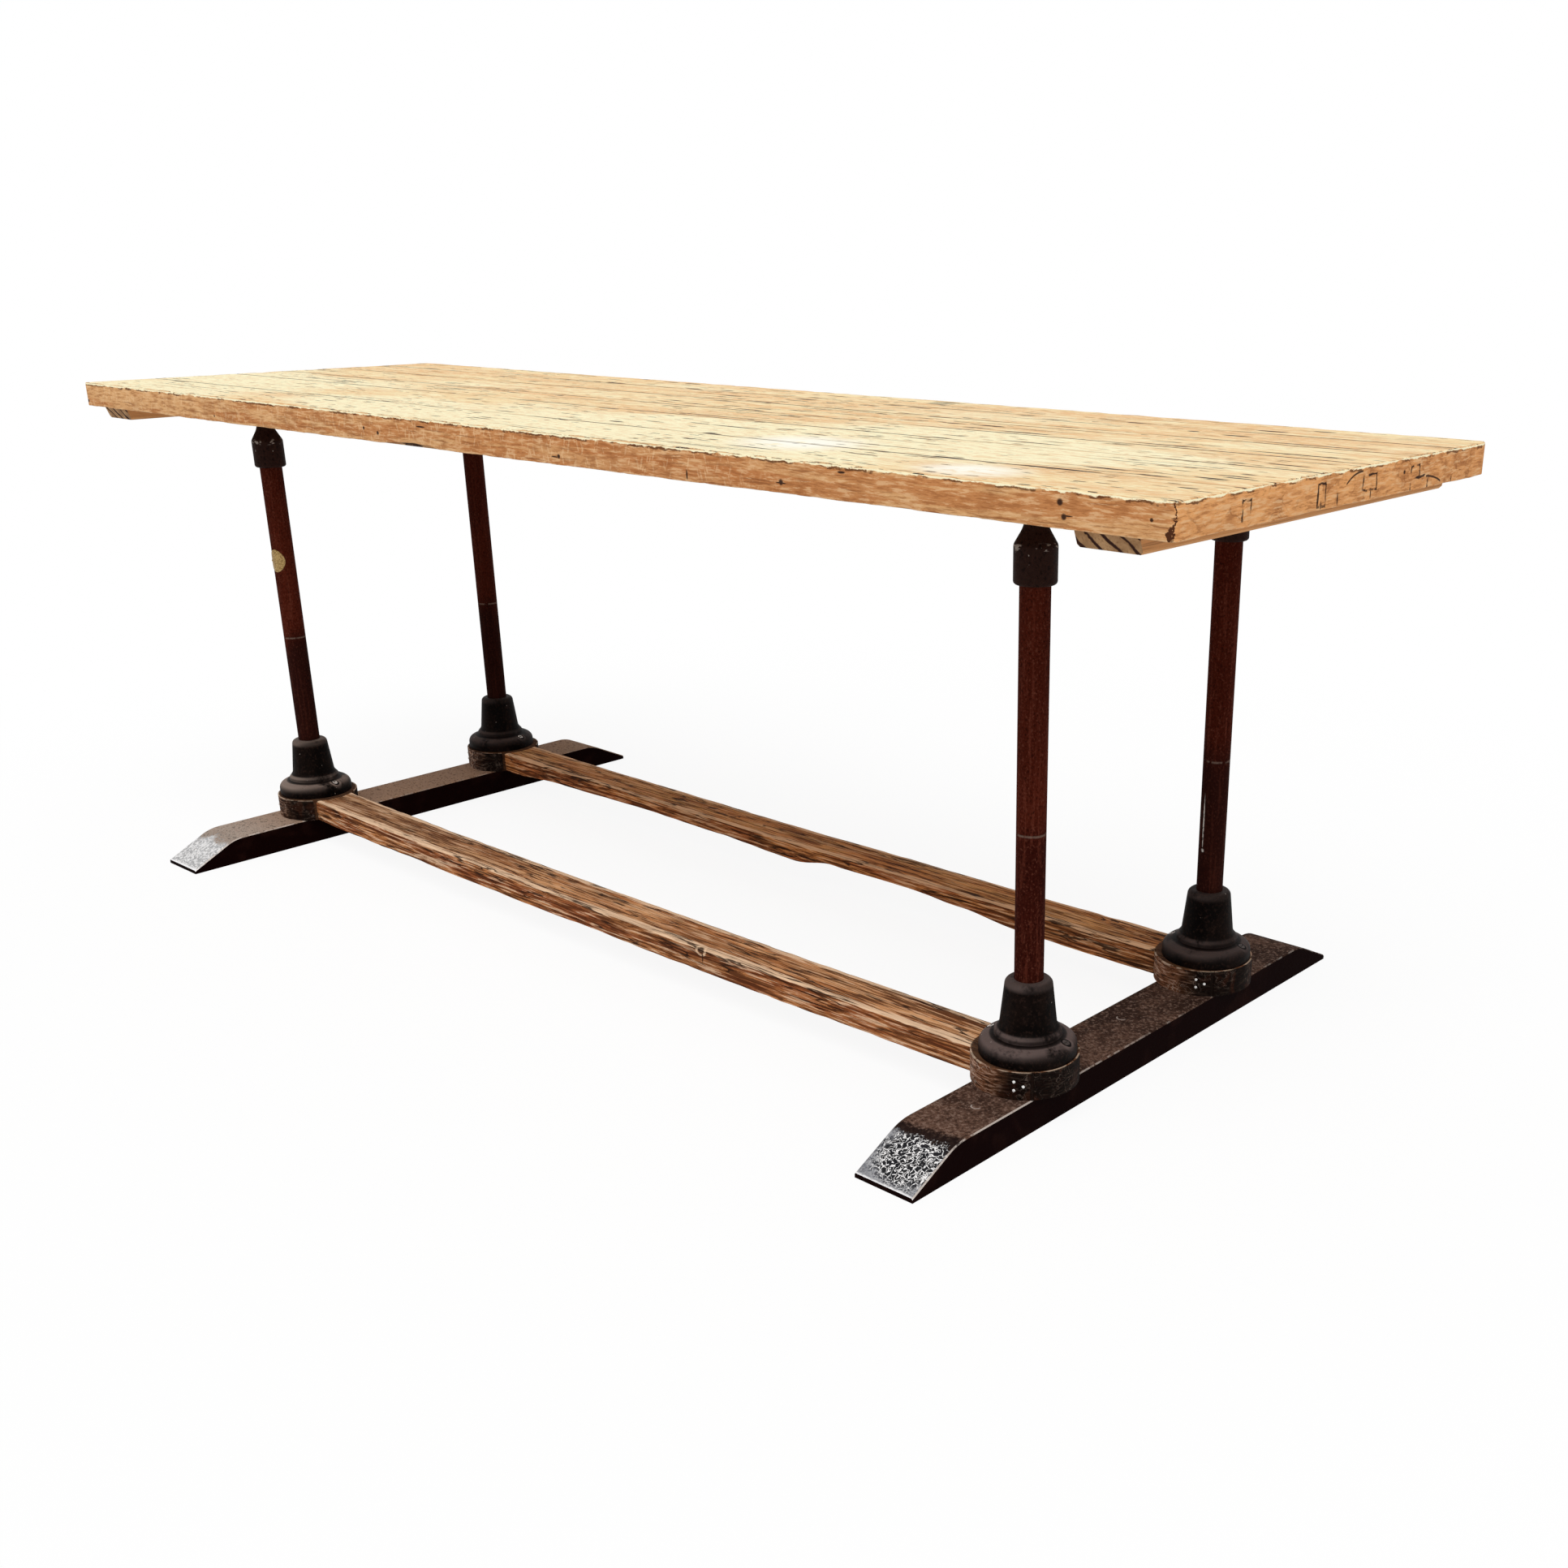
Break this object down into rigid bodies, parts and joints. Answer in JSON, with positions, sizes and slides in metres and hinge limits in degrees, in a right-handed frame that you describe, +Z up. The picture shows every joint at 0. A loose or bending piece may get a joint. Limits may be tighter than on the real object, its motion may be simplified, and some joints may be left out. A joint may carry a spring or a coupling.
{
  "type": "refectory table",
  "caption": "Long narrow dining table with a thick board top on iron pipe posts with cast collars and flanges, wooden stretchers and long sloped feet.",
  "frame": {"origin": "on the floor under the middle of the top", "axes": "+X along the length of the top, +Y from the front edge to the rear edge, +Z up"},
  "size_m": [2.165, 0.888, 0.75],
  "materials": {
    "top_wood": "bare hardwood, scrubbed pale, with dark gouges along the grain",
    "batten_wood": "rough sawn",
    "stretcher_wood": "weathered oak with worn pale edges",
    "strap_wood": "thin dark strip, scuffed",
    "post_paint": "old red-brown paint over pipe, satin",
    "casting_iron": "black-brown painted casting, worn on the edges",
    "foot_iron": "dark paint, worn bright on the toes",
    "screw_iron": "blackened screw",
    "nail_steel": "bright domed nail",
    "fastener_steel": "plain steel",
    "badge_brass": "aged brass"
  },
  "bodies": {
    "root": {"badge_pins": "badge_brass", "badge_plate": "badge_brass", "batten_left": "batten_wood", "batten_right": "batten_wood", "batten_screws": "fastener_steel", "board_1": "top_wood", "board_2": "top_wood", "board_3": "top_wood", "board_4": "top_wood", "board_5": "top_wood", "board_6": "top_wood", "collar_front_left": "casting_iron", "collar_front_right": "casting_iron", "collar_rear_left": "casting_iron", "collar_rear_right": "casting_iron", "flange_front_left": "casting_iron", "flange_front_right": "casting_iron", "flange_rear_left": "casting_iron", "flange_rear_right": "casting_iron", "flange_screws": "screw_iron", "foot_bolts": "fastener_steel", "foot_left": "foot_iron", "foot_right": "foot_iron", "post_front_left": "post_paint", "post_front_right": "post_paint", "post_rear_left": "post_paint", "post_rear_right": "post_paint", "post_studs": "fastener_steel", "strap_front_left": "strap_wood", "strap_front_right": "strap_wood", "strap_nails": "nail_steel", "strap_rear_left": "strap_wood", "strap_rear_right": "strap_wood", "stretcher_front": "stretcher_wood", "stretcher_rear": "stretcher_wood"}
  },
  "joints": []
}
